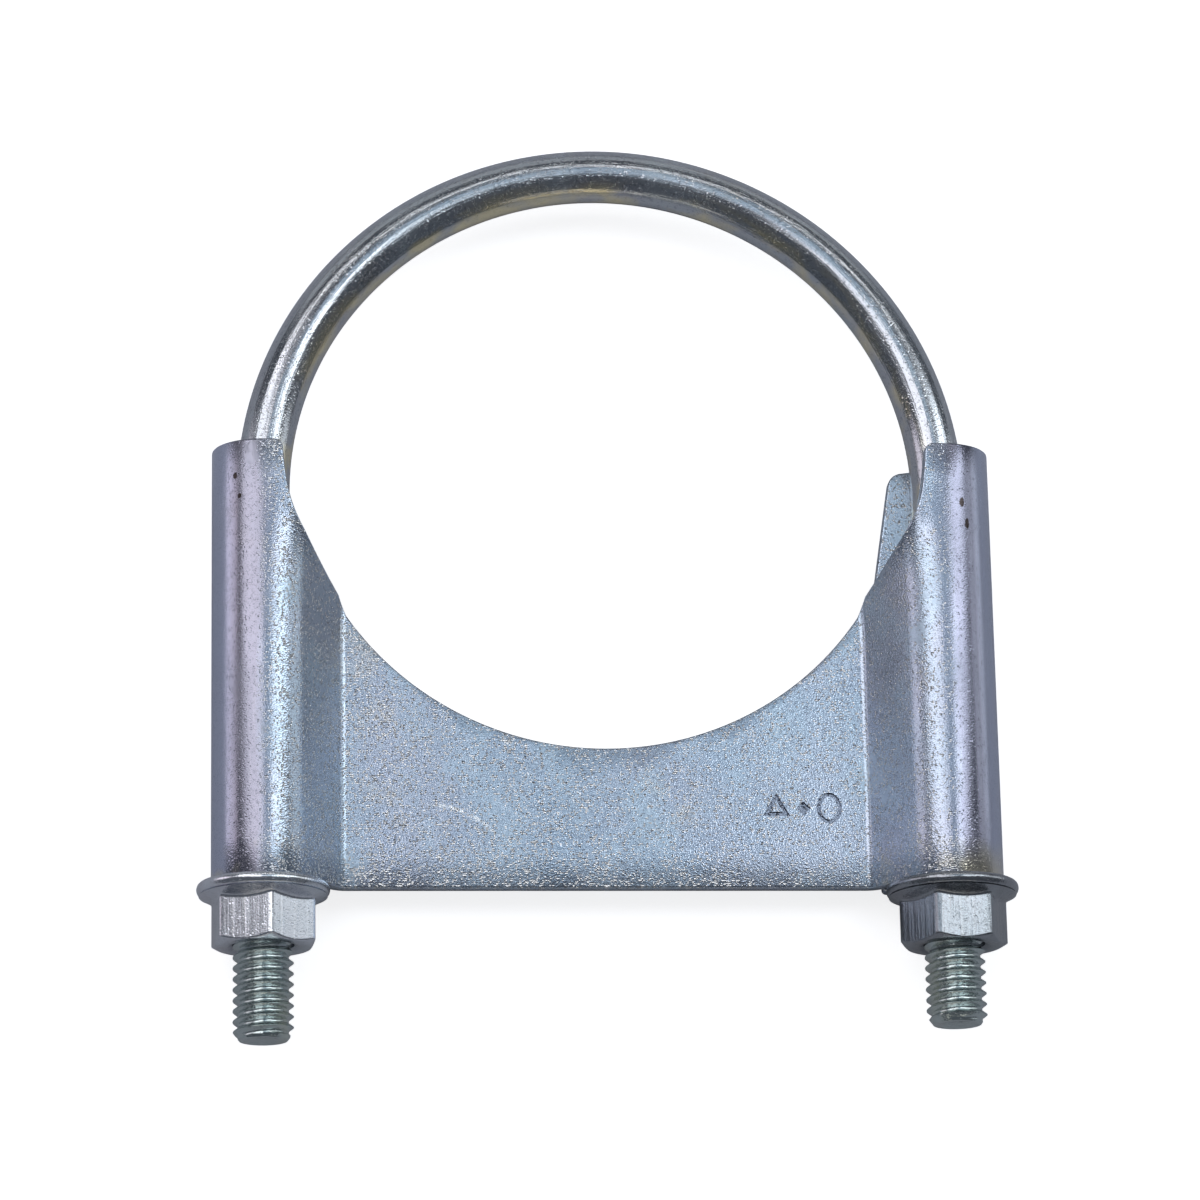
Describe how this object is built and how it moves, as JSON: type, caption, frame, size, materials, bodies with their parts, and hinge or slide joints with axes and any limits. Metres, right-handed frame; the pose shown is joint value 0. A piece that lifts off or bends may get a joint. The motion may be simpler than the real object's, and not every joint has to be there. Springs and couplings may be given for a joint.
{
  "type": "saddle u-bolt clamp",
  "caption": "U-bolt pipe clamp: a bent rod with threaded legs runs through a stamped sheet saddle and is drawn down on the pipe by flange nuts.",
  "frame": {"origin": "centre of the pipe seat, in the plane of the two legs' axes", "axes": "+X from the left leg to the right leg, +Y up the legs towards the arch, +Z along the pipe's axis, away from the web; the clamp lies on its back"},
  "size_m": [0.1078, 0.1225, 0.0174],
  "materials": {
    "zinc_rod": "clear zinc plate on drawn rod, satin",
    "zinc_sheet": "clear zinc plate on rolled sheet, satin with a fine sparkle",
    "zinc_nut": "clear zinc plate on forged nut, semi-bright"
  },
  "bodies": {
    "saddle": {"saddle": "zinc_sheet"},
    "u_bolt": {"u_bolt": "zinc_rod"},
    "nut_left": {"flange_nut_left": "zinc_nut"},
    "nut_right": {"flange_nut_right": "zinc_nut"}
  },
  "joints": [
    {"name": "u_bolt_draw", "type": "slide", "parent": "saddle", "child": "u_bolt", "axis": [0, -1, 0], "range_m": [-0.00988, 0.00564]},
    {"name": "nut_left_spin", "type": "hinge", "parent": "saddle", "child": "nut_left", "pos_m": [-0.04516, -0.0602, 0], "axis": [0, 1, 0], "range_deg": [-2521, 1441]},
    {"name": "nut_right_spin", "type": "hinge", "parent": "saddle", "child": "nut_right", "pos_m": [0.04516, -0.0602, 0], "axis": [0, 1, 0], "range_deg": [-2521, 1441]}
  ],
  "couplings": [
    {"joint": "nut_left_spin", "follows": "u_bolt_draw", "rad_per_m": 4452.7},
    {"joint": "nut_right_spin", "follows": "u_bolt_draw", "rad_per_m": 4452.7}
  ]
}
